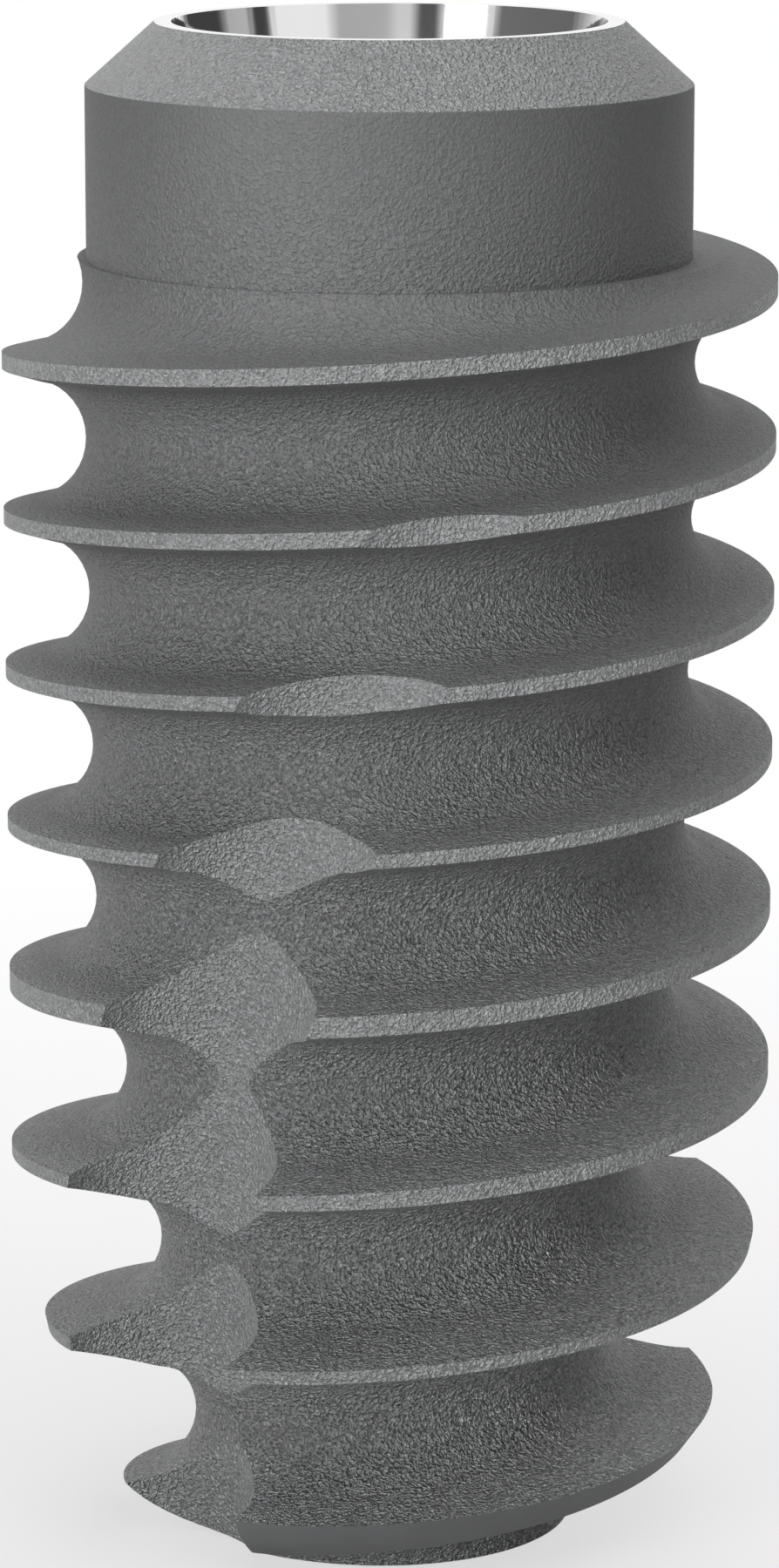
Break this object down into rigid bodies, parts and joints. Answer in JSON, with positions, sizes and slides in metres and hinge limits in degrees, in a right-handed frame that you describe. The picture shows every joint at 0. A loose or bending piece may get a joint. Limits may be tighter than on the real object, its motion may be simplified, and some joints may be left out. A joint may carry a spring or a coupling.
{
  "type": "dental implant",
  "caption": "Tapered screw-shaped dental implant with a coarse bone thread, cutting flutes, a bevelled collar and a conical seat with hex socket for the abutment.",
  "frame": {"origin": "centre of the flat apex, on the implant's axis", "axes": "+Z along the axis from the apex to the platform that carries the abutment; -Y is the front of the picture"},
  "size_m": [0.005, 0.005, 0.01],
  "materials": {
    "roughened_titanium": "grey titanium, blasted and etched to a matt, finely wrinkled surface, with a polished rim and connection"
  },
  "bodies": {
    "root": {"implant_body": "roughened_titanium"}
  },
  "joints": []
}
